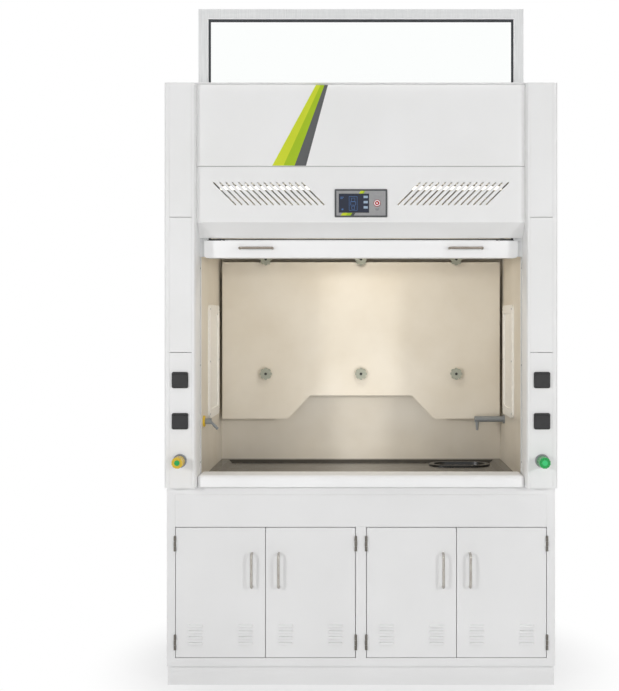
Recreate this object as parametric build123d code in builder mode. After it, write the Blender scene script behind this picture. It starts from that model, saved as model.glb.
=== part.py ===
from build123d import *
import math
import os

# Ducted laboratory fume hood on a louvred base cabinet, sizes in millimetres.
# X runs to the user's right, Y runs from the user towards the wall, Z is up.
# The origin is on the floor under the middle of the body, and the model stands with its
# sash fully raised. A setback is a distance behind the front of the two columns, a rise is
# a height above the bench, and a drop is a distance below the thing it is named after.

os.makedirs("parts", exist_ok=True)

# Body
overall_width = 1500
body_depth = 850
bench_height = 775
superstructure_height = 1548
column_width = 120
sheet = 2
bend_radius = 3
joint_gap = 2
fit_gap = 0.4
running_gap = 0.4
shaft_clearance = 0.05
hole_clearance = 1
overshoot = 1

# Base cabinet
plinth_height = 79
plinth_setback = 81
plinth_flange = 30
brace_width = 60
cabinet_setback = 56
cabinet_rear_inset = 12
frame_depth = 22
stile_width = 32
mullion_width = 40
bottom_rail = 32.5
apron_drop = 33
apron_height = 123
door_thickness = 20
door_gap = 2.5
door_skin = 1.5
door_flange = 18
pan_corner = 3

# Louvres of the doors, in two columns of four
louvre_length = 53
louvre_pitch = 22.5
louvre_rows = 4
louvre_first = 54
louvre_inset = 76
louvre_height = 11
louvre_reach = 6

# Hinges, pull handles and catches
hinge_height = 58
hinge_radius = 4.5
hinge_pin_radius = 2
hinge_leaf = 10
hinge_from_end = 61
pull_centres = 128
pull_radius = 5
pull_reach = 32
pull_corner = 14
door_pull_inset = 52
door_pull_drop = 167
catch_width = 50
catch_height = 24
catch_depth = 22

# Columns
post_width = 16
nose_depth = 34
nose_thickness = 10
post_wall = 3
groove_depth = 10
rear_lip = 18
strip_width = 19
corner_radius = 8
cover_return = 14
cover_joint_rises = (518, 1034)

# Chamber
liner_thickness = 4
board_thickness = 6
liner_rear_inset = 32
plenum_depth = 96
baffle_side_gap = 14.5
baffle_rise = 207
baffle_overlap = 17
notch_height = 103
notch_run = 98
baffle_foot = 291.5
baffle_slot = 25
upper_baffle_fold = 26
upper_baffle_lean = 162
upper_baffle_overlap = 90
ceiling_drop = 107
ceiling_front = 150
ceiling_flange = 30
exhaust_throat = 60
exhaust_radius = 125
exhaust_rear_gap = 34
exhaust_height = 80
exhaust_flange = 25

# Header
header_setback = 30
header_end_gap = 0.5
header_upper_height = 316
header_lower_height = 215
header_slope_height = 59
header_rear = 104
header_return = 34
header_lip = 17
vent_drop = 105
vent_inset = 106
vent_pitch = 24.2
vent_length = 124
vent_width = 5
vent_angle = 45
vent_display_gap = 75

# Display in the lower header
display_drop = 142
display_width = 203
display_height = 109
display_corner = 5
display_edge = 1
display_proud = 6
display_box_depth = 28
display_margin = 11
screen_width = 114
screen_height = 71
screen_x = -27
screen_depth = 1.6
button_radius = 13
button_edge = 1.5
button_x = 62
button_travel = 2
button_proud = 4
button_stem_radius = 4
button_stem_depth = 14

# Worktop, drip cup and sill
worktop_thickness = 18
worktop_rim = 37
worktop_slope = 22
worktop_edge = 2
dish_depth = 10
sill_depth = 120
sill_height = 45
sill_nose = 20
sill_end_radius = 15
cup_side_gap = 198
cup_rear_gap = 143
cup_length = 268
cup_width = 160
cup_rim = 22
cup_lip = 6
cup_lip_round = 3.6
cup_depth = 62
cup_wall = 3
cup_taper = 12
drain_radius = 19
drain_length = 40

# Sash
sash_setback = 111
sash_thickness = 30
sash_engagement = 5.5
sash_height = 974
stile = 39
gasket_width = 7.5
gasket_grip = 3.5
glass_thickness = 6
bar_gap = 6
bar_height = 68
bar_end_gap = 18
bar_thickness = 15
bar_corner = 13
bar_edge = 3
bar_lip = 6
sash_pull_inset = 204
sash_pull_rise = 37.4
closing_gap = 1
carrier_height = 16
carrier_rise = 31

# Counterbalance
cable_offset = 45
cable_radius = 1.5
pulley_radius = 50
pulley_flange = 4
pulley_width = 12
shaft_radius = 8
shaft_drop = 73
bearing_offset = 25
bearing_plate = 5
bearing_width = 60
weight_width = 45
weight_depth = 100
weight_height = 552
weight_rise = 10
weight_eye = 20
weight_chamfer = 4

# Access covers in the side liners
access_front = 350
access_rear_gap = 154
access_rise = 237
access_height = 470
access_border = 35
access_lap = 24
access_corner = 28
access_inner_corner = 16
access_proud = 9

# Baffle hand knobs
knob_radius = 26.5
knob_lobe = 7.5
knob_lobes = 8
knob_thickness = 18
knob_hole = 5
knob_hole_depth = 9
knob_inset = 193.5
knob_stud = 4
standoff_radius = 18
lower_knob_rise = 96

# Lamp
lamp_offset = 5
lamp_rise = 57
lamp_inset = 55.5
lamp_radius = 8
lamp_end_plate = 15
lamp_housing_width = 60
lamp_housing_height = 110
lamp_channel_depth = 35
lamp_window_border = 10

# Services on the columns
service_offset = 1.5
socket_rises = (413, 256)
socket_size = 62
socket_corner = 7
socket_edge = 1.5
socket_proud = 8
socket_box = 50
socket_box_depth = 42
socket_well_radius = 20
socket_well_depth = 14
lid_width = 56
lid_height = 49
lid_thickness = 3.6
lid_corner = 4
lid_edge = 1
lid_barrel_radius = 2.8
lid_pin_radius = 1.5
lid_ear = 5
valve_rise = 105
valve_flange_radius = 26
valve_flange_thickness = 14
valve_flange_round = 4
valve_neck_radius = 12
valve_block = 40
valve_block_depth = 50
valve_knob_radius = 21.5
valve_knob_length = 55
valve_knob_gap = 6
valve_cap_radius = 13.5
valve_cap_thickness = 2
valve_stem_radius = 5
valve_stem_depth = 20
valve_flutes = 12
valve_flute_radius = 2.4

# Services in the chamber
outlet_tail = 15
gas_setback = 214
gas_rise = 238
gas_rosette_radius = 22.5
gas_rosette_thickness = 7.2
gas_rosette_round = 3
gas_body_radius = 12
gas_body_length = 32
gas_hose_radius = 5.5
gas_hose_length = 44
gas_barbs = 3
gas_barb_pitch = 8.8
gas_barb_proud = 1.5
gas_barb_taper = 14
water_front_offset = 11
water_rise = 210
water_flange_radius = 19.5
water_flange_thickness = 6.5
water_pipe_radius = 13
water_end_round = 3
water_reach = 132
water_nozzle_inset = 12
water_nozzle_radius = 10
water_nozzle_length = 36
water_nozzle_taper = 6

# Widths that follow from the body
half_width = overall_width / 2
chamber_half = half_width - column_width
post_outer = chamber_half + post_width
strip_inner = half_width - strip_width
service_x = (post_outer + strip_inner) / 2 + service_offset
cable_x = chamber_half + cable_offset
bearing_x = chamber_half + bearing_offset
worktop_half = chamber_half - fit_gap
header_half = chamber_half - header_end_gap
sash_half = chamber_half + sash_engagement
bar_half = chamber_half - bar_end_gap
sash_pull_x = bar_half - sash_pull_inset
baffle_half = chamber_half - baffle_side_gap
notch_half_bottom = baffle_half - baffle_foot
notch_half_top = notch_half_bottom - notch_run
knob_spacing = baffle_half - knob_inset
lamp_length = 2 * (chamber_half - lamp_inset)
cup_x = chamber_half - cup_side_gap
vent_first = header_half - vent_inset
vent_room = vent_first - display_width / 2 - vent_display_gap
vent_count = int(vent_room / vent_pitch) + 1

# Depths that follow from the body
front_y = -body_depth / 2
cabinet_rear_setback = body_depth - cabinet_rear_inset
back_liner_setback = body_depth - liner_rear_inset
baffle_setback = back_liner_setback - plenum_depth
upper_baffle_setback = baffle_setback - upper_baffle_lean
ceiling_rear = upper_baffle_setback - exhaust_throat
lamp_setback = (ceiling_front + ceiling_rear) / 2 + lamp_offset
exhaust_setback = back_liner_setback - exhaust_rear_gap - exhaust_radius
cup_setback = back_liner_setback - cup_rear_gap
water_setback = cup_setback - water_front_offset
access_rear = back_liner_setback - access_rear_gap

# Heights that follow from the bench and the roof
body_top = bench_height + superstructure_height
roof_underside = body_top - sheet
apron_top = bench_height - apron_drop
apron_bottom = apron_top - apron_height
door_pull_height = apron_bottom - door_pull_drop
cover_joints = [bench_height + rise for rise in cover_joint_rises]
socket_heights = [bench_height + rise for rise in socket_rises]
valve_z = bench_height + valve_rise
gas_z = bench_height + gas_rise
water_z = bench_height + water_rise
access_bottom = bench_height + access_rise
access_top = access_bottom + access_height
weight_bottom = bench_height + weight_rise
baffle_bottom = bench_height + baffle_rise
notch_top = baffle_bottom + notch_height
lower_knob_z = notch_top + lower_knob_rise
header_joint = body_top - header_upper_height
header_bend = header_joint - header_lower_height
header_bottom = header_bend - header_slope_height
vent_height = header_joint - vent_drop
display_z = header_joint - display_drop
bar_top = header_bottom - bar_gap
bar_bottom = bar_top - bar_height
sash_top = bar_bottom + sash_height
baffle_top = bar_bottom + baffle_overlap
ceiling_height = header_joint - ceiling_drop
upper_baffle_top = ceiling_height + upper_baffle_overlap
lamp_z = ceiling_height + lamp_rise
lamp_housing_top = ceiling_height + lamp_housing_height
shaft_z = body_top - shaft_drop


def y_at(setback):
    return front_y + setback


def front_plane(setback):
    """Plane parallel to the front that faces the user; X is right and its Y is up."""
    return Plane.XZ.offset(-y_at(setback))


def level(height):
    return Plane.XY.offset(height)


def rectangle_between(low_x, high_x, low_y, high_y):
    with Locations(((low_x + high_x) / 2, (low_y + high_y) / 2)):
        Rectangle(high_x - low_x, high_y - low_y)


def plate(plane, low_x, high_x, low_y, high_y, thickness, mode=Mode.ADD):
    """Rectangular plate between two corners of a plane, thickened along its normal."""
    with BuildSketch(plane) as outline:
        rectangle_between(low_x, high_x, low_y, high_y)
    extrude(outline.sketch, amount=thickness, mode=mode)


def disc(plane, spots, radius, thickness, mode=Mode.ADD):
    """Round bosses or holes at the given spots of a plane."""
    with BuildSketch(plane) as outline:
        with Locations(*spots):
            Circle(radius)
    extrude(outline.sketch, amount=thickness, mode=mode)


def side_profile(points, half_length, mode=Mode.ADD):
    """Folded section, given as (setback, height) points, run across the hood."""
    with BuildSketch(Plane.YZ) as outline:
        with BuildLine():
            Polyline([(y_at(setback), height) for setback, height in points], close=True)
        make_face()
    extrude(outline.sketch, amount=half_length, both=True, mode=mode)


def folded_sheet(points, half_length):
    """Sheet bent along (setback, height) points, its thickness to the left of that line."""
    with BuildSketch(Plane.YZ) as section:
        with BuildLine():
            FilletPolyline(*[(y_at(setback), height) for setback, height in points], radius=bend_radius)
            offset(amount=sheet, side=Side.LEFT)
        make_face()
    extrude(section.sketch, amount=half_length, both=True)


def bow_handle(base_plane, corner, radius):
    """Round bar bow: two legs out of the plane's origin line and a grip between them."""
    half = pull_centres / 2
    with BuildPart() as bow:
        with BuildLine(base_plane) as path:
            FilletPolyline((-half, 0), (-half, pull_reach), (half, pull_reach), (half, 0), radius=corner)
        with BuildSketch(Plane(origin=path.line @ 0, z_dir=path.line % 0)):
            Circle(radius)
        sweep(path=path.line)
    return bow.part


def write(piece, name):
    piece.label = name
    export_step(piece, f"parts/{name}.step")


def write_mirrored(piece, name):
    with BuildPart() as twin:
        mirror(piece, about=Plane.YZ)
    twin.part.label = name
    export_step(twin.part, f"parts/{name}.step")


# Plinth: folded ring with flanges top and bottom, and a channel brace on the floor
with BuildPart() as plinth:
    plinth_ends = (y_at(plinth_setback), y_at(cabinet_rear_setback))
    plate(level(0), -half_width, half_width, *plinth_ends, plinth_height)
    plate(level(sheet), sheet - half_width, half_width - sheet, plinth_ends[0] + sheet,
          plinth_ends[1] - sheet, plinth_height - 2 * sheet, Mode.SUBTRACT)
    plate(level(0), plinth_flange - half_width, half_width - plinth_flange,
          plinth_ends[0] + plinth_flange, plinth_ends[1] - plinth_flange, plinth_height, Mode.SUBTRACT)
    brace_ends = (plinth_ends[0] + sheet, plinth_ends[1] - sheet)
    plate(level(0), -brace_width / 2, brace_width / 2, *brace_ends, sheet)
    for side in (-1, 1):
        web = side * (brace_width - sheet) / 2
        plate(level(0), web - sheet / 2, web + sheet / 2, *brace_ends, plinth_height)
write(plinth.part, "plinth")

# Door openings of the carcass, left and right of the mullion
opening_low = mullion_width / 2
opening_high = half_width - stile_width
opening_bottom = plinth_height + bottom_rail
opening_top = apron_bottom - sheet
door_width = (opening_high - opening_low - 3 * door_gap) / 2
door_height = opening_top - opening_bottom - 2 * door_gap
frame_back = cabinet_setback + frame_depth
hinge_axis_setback = cabinet_setback - hinge_radius - fit_gap
hinge_heights = (opening_bottom + hinge_from_end, opening_top - hinge_from_end - door_gap)
knuckle_height = (hinge_height - 2 * fit_gap) / 3

# Stadium of the drip cup, also cut through the worktop and the carcass
cup_y = y_at(cup_setback)
cup_body_length = cup_length - 2 * cup_rim + 2 * cup_wall
cup_body_width = cup_width - 2 * cup_rim + 2 * cup_wall


def stadium(plane, length, width, thickness, mode=Mode.ADD, taper=0):
    with BuildSketch(plane) as outline:
        with Locations((cup_x, cup_y)):
            SlotOverall(length, width)
    extrude(outline.sketch, amount=thickness, taper=taper, mode=mode)


def knuckles(axis_x, heights, inward):
    """Hinge barrels at the given heights, each with a leaf that reaches inward along X."""
    for low in heights:
        disc(level(low), [(axis_x, y_at(hinge_axis_setback))], hinge_radius, knuckle_height)
        near, far = sorted((axis_x, axis_x + inward * hinge_leaf))
        plate(level(low), near, far, y_at(hinge_axis_setback), y_at(cabinet_setback - fit_gap),
              knuckle_height)
        root, tip = sorted((axis_x + inward * hinge_radius, axis_x + inward * hinge_leaf))
        plate(level(low), root, tip, y_at(hinge_axis_setback), y_at(cabinet_setback + overshoot),
              knuckle_height)


hinge_lines = (-opening_high, -opening_low, opening_low, opening_high)

# Carcass: welded box with a tubular face frame, partition, service deck and frame knuckles
with BuildPart() as cabinet_carcass:
    plate(level(plinth_height), -half_width, half_width, y_at(cabinet_setback),
          y_at(cabinet_rear_setback), bench_height - plinth_height)
    for side in (-1, 1):
        room = sorted((side * sheet / 2, side * (half_width - sheet)))
        plate(level(plinth_height + sheet), *room, y_at(frame_back),
              y_at(cabinet_rear_setback - sheet), apron_bottom - plinth_height - 2 * sheet,
              Mode.SUBTRACT)
        doorway = sorted((side * opening_low, side * opening_high))
        plate(level(opening_bottom), *doorway, y_at(cabinet_setback), y_at(frame_back),
              opening_top - opening_bottom, Mode.SUBTRACT)
    plate(level(apron_bottom), sheet - half_width, half_width - sheet, y_at(frame_back),
          y_at(cabinet_rear_setback - sheet), bench_height - sheet - apron_bottom, Mode.SUBTRACT)
    plate(level(apron_bottom), -opening_high, opening_high, y_at(cabinet_setback),
          y_at(frame_back), apron_top - apron_bottom, Mode.SUBTRACT)
    stadium(level(bench_height - sheet), cup_body_length + 2 * cup_wall,
            cup_body_width + 2 * cup_wall, sheet, Mode.SUBTRACT)
    for hinge_x in hinge_lines:
        outward = 1 if hinge_x in (-opening_low, opening_high) else -1
        low_barrels = [height - hinge_height / 2 for height in hinge_heights]
        high_barrels = [low + 2 * (knuckle_height + fit_gap) for low in low_barrels]
        knuckles(hinge_x, low_barrels + high_barrels, outward)
    for hinge_x in hinge_lines:
        for height in hinge_heights:
            disc(level(height - hinge_height / 2), [(hinge_x, y_at(hinge_axis_setback))],
                 hinge_pin_radius, hinge_height, Mode.SUBTRACT)
write(cabinet_carcass.part, "cabinet_carcass")

with BuildPart() as hinge_pins:
    for height in hinge_heights:
        disc(level(height - hinge_height / 2),
             [(hinge_x, y_at(hinge_axis_setback)) for hinge_x in hinge_lines],
             hinge_pin_radius, hinge_height)
write(hinge_pins.part, "hinge_pins")

# Apron: shallow pan that closes the service space above the doors
with BuildPart() as cabinet_apron:
    apron_half = opening_high - fit_gap
    plate(front_plane(cabinet_setback), -apron_half, apron_half, apron_bottom + fit_gap,
          apron_top - fit_gap, -frame_depth)
    plate(front_plane(cabinet_setback + door_skin), door_skin - apron_half, apron_half - door_skin,
          apron_bottom + fit_gap + door_skin, apron_top - fit_gap - door_skin, -frame_depth,
          Mode.SUBTRACT)
write(cabinet_apron.part, "cabinet_apron")

with BuildPart() as door_catches:
    for side in (-1, 1):
        pair_x = side * (opening_low + opening_high) / 2
        plate(level(opening_top), pair_x - catch_width / 2, pair_x + catch_width / 2,
              y_at(cabinet_setback + door_thickness + fit_gap),
              y_at(cabinet_setback + door_thickness + catch_depth), -catch_height)
write(door_catches.part, "door_catches")


def louvre(x, z):
    """Pressed hood: closed at its ends and top, open below, over a slot in the door skin."""
    face_y = y_at(cabinet_setback)
    for thickness, low_x, mode in (
        (louvre_length, x - louvre_length / 2, Mode.ADD),
        (louvre_length - 2 * door_skin, x - louvre_length / 2 + door_skin, Mode.SUBTRACT),
    ):
        inset = 0 if mode == Mode.ADD else door_skin
        with BuildSketch(Plane.YZ.offset(low_x)) as hood:
            with BuildLine():
                top = Line((face_y + door_skin, z + louvre_height - inset),
                           (face_y, z + louvre_height - inset))
                bulge = TangentArc(top @ 1, (face_y - louvre_reach + inset, z), tangent=(-1, 0))
                Line(bulge @ 1, (face_y + door_skin, z))
                Line((face_y + door_skin, z), top @ 0)
            make_face()
        extrude(hood.sketch, amount=thickness, mode=mode)


def make_door(hinge_x, inward):
    """Folded door pan with louvres, hinged on hinge_x and reaching inward along X."""
    near = hinge_x + inward * door_gap
    low_x, high_x = sorted((near, near + inward * door_width))
    low_z = opening_bottom + door_gap
    high_z = low_z + door_height
    with BuildPart() as door:
        plate(front_plane(cabinet_setback), low_x, high_x, low_z, high_z, -door_thickness)
        fillet(door.edges().filter_by(Axis.Y), pan_corner)
        plate(front_plane(cabinet_setback + door_skin), low_x + door_skin, high_x - door_skin,
              low_z + door_skin, high_z - door_skin, 2 * door_skin - door_thickness, Mode.SUBTRACT)
        plate(front_plane(cabinet_setback + door_skin), low_x + door_flange, high_x - door_flange,
              low_z + door_flange, high_z - door_flange, -door_thickness, Mode.SUBTRACT)
        for column_x in (low_x + louvre_inset, high_x - louvre_inset):
            for row in range(louvre_rows):
                louvre(column_x, low_z + louvre_first + row * louvre_pitch - louvre_height / 2)
        barrels = [height - hinge_height / 2 + knuckle_height + fit_gap for height in hinge_heights]
        knuckles(hinge_x, barrels, inward)
        for barrel in barrels:
            disc(level(barrel), [(hinge_x, y_at(hinge_axis_setback))],
                 hinge_pin_radius + shaft_clearance, knuckle_height, Mode.SUBTRACT)
    return door.part


for number, hinge_x in enumerate(hinge_lines, start=1):
    inward = 1 if hinge_x in (-opening_high, opening_low) else -1
    write(make_door(hinge_x, inward), f"door_{number}")
    pull_x = hinge_x + inward * (door_width + door_gap + door_gap / 2 - door_pull_inset)
    pull_plane = Plane(origin=(pull_x, y_at(cabinet_setback), door_pull_height),
                       x_dir=(0, 0, 1), z_dir=(1, 0, 0))
    write(bow_handle(pull_plane, pull_corner, pull_radius), f"door_handle_{number}")

# Worktop: thick slab with a raised rim round a dished floor, and a hole for the cup
sill_rear_setback = header_setback + sill_depth
with BuildPart() as worktop:
    worktop_front = y_at(sill_rear_setback + fit_gap)
    worktop_back = y_at(back_liner_setback - fit_gap)
    worktop_top = bench_height + worktop_thickness
    plate(level(bench_height), -worktop_half, worktop_half, worktop_front, worktop_back,
          worktop_thickness)
    dish_floor = worktop_top - dish_depth
    for inset, height in ((worktop_rim, worktop_top), (worktop_rim + worktop_slope, dish_floor)):
        with BuildSketch(level(height)):
            rectangle_between(inset - worktop_half, worktop_half - inset, worktop_front + inset,
                              worktop_back - inset)
    loft(mode=Mode.SUBTRACT)
    stadium(level(bench_height), cup_body_length + hole_clearance, cup_body_width + hole_clearance,
            worktop_thickness, Mode.SUBTRACT)
    fillet(worktop.edges().group_by(Axis.Z)[-1].filter_by(GeomType.LINE), worktop_edge)
write(worktop.part, "worktop")

# Drip cup: lip that rests in the dish, tapered body and drain tail
with BuildPart() as drip_cup:
    cup_top = dish_floor + cup_lip
    stadium(level(dish_floor), cup_length, cup_width, cup_lip)
    fillet(drip_cup.edges().group_by(Axis.Z)[-1], cup_lip_round)
    stadium(level(cup_top), cup_body_length, cup_body_width, -cup_depth, taper=cup_taper)
    disc(level(cup_top - cup_depth), [(cup_x, cup_y)], drain_radius, -drain_length)
    stadium(level(cup_top), cup_body_length - 2 * cup_wall, cup_body_width - 2 * cup_wall,
            cup_wall - cup_depth, Mode.SUBTRACT, cup_taper)
    disc(level(cup_top), [(cup_x, cup_y)], drain_radius - cup_wall, -cup_depth - drain_length,
         Mode.SUBTRACT)
write(drip_cup.part, "drip_cup")

# Front sill: rounded shell, open below, that the sash closes on
sill_top = bench_height + sill_height
with BuildPart() as front_sill:
    plate(level(bench_height), -worktop_half, worktop_half, y_at(header_setback),
          y_at(sill_rear_setback), sill_height)
    fillet(front_sill.faces().sort_by(Axis.Z)[-1].edges().filter_by(Axis.Y), sill_end_radius)
    fillet(front_sill.edges().group_by(Axis.Y)[0].filter_by(Axis.X).sort_by(Axis.Z)[-1], sill_nose)
    offset(amount=-sheet, openings=front_sill.faces().sort_by(Axis.Z)[0])
write(front_sill.part, "front_sill")

# Side panel: skin with rounded corners, returned at the front, the back and the bottom
skin_height = roof_underside - bench_height
with BuildPart() as side_panel:
    for inset, mode in ((0, Mode.ADD), (sheet, Mode.SUBTRACT)):
        with BuildSketch(level(bench_height)):
            rectangle_between(strip_inner, half_width - inset, y_at(inset), y_at(body_depth - inset))
            fillet(vertices().group_by(Axis.X)[-1], corner_radius - inset)
        extrude(amount=skin_height, mode=mode)
    plate(level(bench_height), chamber_half + post_width + sheet, half_width - sheet,
          y_at(cover_return + fit_gap), y_at(body_depth - sheet), sheet)
write(side_panel.part, "side_panel_right")
write_mirrored(side_panel.part, "side_panel_left")

# Sash post: extruded nose that guides air in, and the groove that the sash runs in
groove_front = sash_setback - running_gap
groove_rear = sash_setback + sash_thickness + running_gap
liner_front = groove_rear + rear_lip
arm_low = bar_bottom + carrier_rise
arm_high = arm_low + carrier_height
sash_travel = bar_bottom - sill_top - closing_gap
with BuildPart() as sash_post:
    with BuildSketch(level(bench_height)):
        with BuildLine():
            nose = EllipticalCenterArc((chamber_half + nose_thickness, y_at(nose_depth)),
                                       nose_thickness, nose_depth, start_angle=180, arc_size=90)
            Polyline(nose @ 1, (post_outer, y_at(0)), (post_outer, y_at(liner_front)),
                     (chamber_half, y_at(liner_front)), (chamber_half, y_at(groove_rear)),
                     (chamber_half + groove_depth, y_at(groove_rear)),
                     (chamber_half + groove_depth, y_at(groove_front)),
                     (chamber_half, y_at(groove_front)), nose @ 0)
        make_face()
    extrude(amount=skin_height)
    plate(level(bench_height), chamber_half + post_wall, post_outer - post_wall,
          y_at(nose_depth), y_at(groove_front) - post_wall, skin_height, Mode.SUBTRACT)
    plate(level(arm_low - sash_travel - post_wall), chamber_half + groove_depth - overshoot,
          post_outer + overshoot, y_at(groove_front + post_wall), y_at(groove_rear - post_wall),
          sash_travel + carrier_height + 2 * post_wall, Mode.SUBTRACT)
write(sash_post.part, "sash_post_right")
write_mirrored(sash_post.part, "sash_post_left")

# Column covers: three pans above each other, the lowest pierced for the services
cover_inner = post_outer + fit_gap
cover_outer = strip_inner - fit_gap
cover_levels = (bench_height, *cover_joints, roof_underside)
with BuildPart() as column_covers:
    for low, high in zip(cover_levels[:-1], cover_levels[1:]):
        low_z = low + (joint_gap / 2 if low != bench_height else 0)
        high_z = high - (joint_gap / 2 if high != roof_underside else 0)
        plate(front_plane(0), cover_inner, cover_outer, low_z, high_z, -cover_return)
        plate(front_plane(sheet), cover_inner + sheet, cover_outer - sheet, low_z + sheet,
              high_z - sheet, -cover_return, Mode.SUBTRACT)
    box_hole = socket_box / 2 + hole_clearance
    for height in socket_heights:
        plate(front_plane(0), service_x - box_hole, service_x + box_hole, height - box_hole,
              height + box_hole, -sheet, Mode.SUBTRACT)
    disc(front_plane(0), [(service_x, valve_z)], valve_neck_radius + hole_clearance, -sheet,
         Mode.SUBTRACT)
write(column_covers.part, "column_covers_right")
write_mirrored(column_covers.part, "column_covers_left")

# Back panel and roof, with the slot that the raised sash stands through
with BuildPart() as back_panel:
    back_half = half_width - corner_radius
    plate(front_plane(body_depth - sheet - fit_gap), -back_half, back_half,
          bench_height + sheet + fit_gap, roof_underside, sheet)
write(back_panel.part, "back_panel")

exhaust_y = y_at(exhaust_setback)
with BuildPart() as roof:
    with BuildSketch(level(roof_underside)):
        rectangle_between(-half_width, half_width, y_at(0), y_at(body_depth))
        fillet(vertices(), corner_radius)
        with Locations((0, exhaust_y)):
            Circle(exhaust_radius - sheet, mode=Mode.SUBTRACT)
    extrude(amount=sheet)
    roof_slot_half = sash_half + running_gap + post_wall
    plate(level(roof_underside), -roof_slot_half, roof_slot_half, y_at(groove_front),
          y_at(groove_rear), sheet, Mode.SUBTRACT)
write(roof.part, "roof")

with BuildPart() as exhaust_collar:
    disc(level(body_top), [(0, exhaust_y)], exhaust_radius + exhaust_flange, sheet)
    disc(level(body_top), [(0, exhaust_y)], exhaust_radius, exhaust_height)
    disc(level(body_top), [(0, exhaust_y)], exhaust_radius - sheet, exhaust_height, Mode.SUBTRACT)
write(exhaust_collar.part, "exhaust_collar")

# Upper header panel, folded back under the roof
with BuildPart() as header_upper:
    folded_sheet([(header_rear, roof_underside), (header_setback, roof_underside),
                  (header_setback, header_joint + joint_gap / 2),
                  (header_setback + header_return, header_joint + joint_gap / 2)], header_half)
write(header_upper.part, "header_upper")

# Lower header panel with mirrored fans of slanted vents and the display cut-out
with BuildPart() as header_lower:
    folded_sheet([(header_setback + header_return, header_joint - joint_gap / 2),
                  (header_setback, header_joint - joint_gap / 2), (header_setback, header_bend),
                  (header_rear, header_bottom), (header_rear, header_bottom + header_lip)],
                 header_half)
    with BuildSketch(front_plane(header_setback)) as vents:
        for side in (-1, 1):
            spots = [(side * (vent_first - column * vent_pitch), vent_height)
                     for column in range(vent_count)]
            with Locations(*spots):
                SlotOverall(vent_length, vent_width, rotation=side * vent_angle)
    extrude(vents.sketch, amount=-sheet, mode=Mode.SUBTRACT)
    display_box_x = display_width / 2 - display_margin
    display_box_z = display_height / 2 - display_margin
    plate(front_plane(header_setback), -display_box_x - hole_clearance,
          display_box_x + hole_clearance, display_z - display_box_z - hole_clearance,
          display_z + display_box_z + hole_clearance, -sheet, Mode.SUBTRACT)
write(header_lower.part, "header_lower")

# Display: bezel with a back box, screen pocket and button well
with BuildPart() as display_panel:
    bezel_front = header_setback - display_proud
    with BuildSketch(front_plane(bezel_front)):
        with Locations((0, display_z)):
            RectangleRounded(display_width, display_height, display_corner)
    extrude(amount=-display_proud)
    fillet(display_panel.faces().sort_by(Axis.Y)[0].edges(), display_edge)
    plate(front_plane(header_setback), -display_box_x, display_box_x, display_z - display_box_z,
          display_z + display_box_z, -display_box_depth)
    plate(front_plane(bezel_front), screen_x - screen_width / 2, screen_x + screen_width / 2,
          display_z - screen_height / 2, display_z + screen_height / 2, -screen_depth, Mode.SUBTRACT)
    disc(front_plane(bezel_front), [(button_x, display_z)], button_radius + running_gap,
         -display_proud, Mode.SUBTRACT)
    disc(front_plane(header_setback), [(button_x, display_z)], button_stem_radius + shaft_clearance,
         -button_stem_depth, Mode.SUBTRACT)
write(display_panel.part, "display_panel")

with BuildPart() as display_screen:
    plate(front_plane(bezel_front), screen_x - screen_width / 2, screen_x + screen_width / 2,
          display_z - screen_height / 2, display_z + screen_height / 2, -screen_depth)
write(display_screen.part, "display_screen")

with BuildPart() as push_button:
    cap_back = header_setback - button_travel - fit_gap
    disc(front_plane(bezel_front - button_proud), [(button_x, display_z)], button_radius,
         bezel_front - button_proud - cap_back)
    fillet(push_button.edges().group_by(Axis.Y)[0], button_edge)
    disc(front_plane(cap_back), [(button_x, display_z)], button_stem_radius, -button_stem_depth)
write(push_button.part, "push_button")

# Side liner with the service opening, outlet holes and shaft hole
liner_outer = chamber_half + liner_thickness
shaft_y = y_at(sash_setback + sash_thickness / 2 + pulley_radius)


def make_liner(outlet_y, outlet_z, outlet_radius):
    side = Plane.YZ.offset(chamber_half)
    with BuildPart() as liner:
        plate(side, y_at(liner_front), y_at(back_liner_setback), bench_height + sheet,
              roof_underside, liner_thickness)
        plate(side, y_at(access_front + access_lap), y_at(access_rear - access_lap),
              access_bottom + access_lap, access_top - access_lap, liner_thickness, Mode.SUBTRACT)
        disc(side, [(outlet_y, outlet_z)], outlet_radius + hole_clearance, liner_thickness,
             Mode.SUBTRACT)
        disc(side, [(shaft_y, shaft_z)], shaft_radius + 2 * hole_clearance, liner_thickness,
             Mode.SUBTRACT)
    return liner.part


write(make_liner(y_at(water_setback), water_z, water_pipe_radius), "liner_right")
write_mirrored(make_liner(y_at(gas_setback), gas_z, gas_body_radius), "liner_left")

# Back liner with welded stand-offs for the baffle
upper_knob_z = baffle_top + baffle_slot / 2
knob_spots = [(x, z) for z in (lower_knob_z, upper_knob_z) for x in (-knob_spacing, 0, knob_spacing)]
board_back_setback = baffle_setback + board_thickness
with BuildPart() as back_liner:
    plate(front_plane(back_liner_setback), -liner_outer, liner_outer, bench_height + sheet,
          roof_underside, -board_thickness)
    disc(front_plane(board_back_setback), knob_spots, standoff_radius,
         board_back_setback - back_liner_setback)
    disc(front_plane(board_back_setback), knob_spots, knob_stud + shaft_clearance,
         -knob_thickness - overshoot, Mode.SUBTRACT)
write(back_liner.part, "back_liner")

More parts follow.
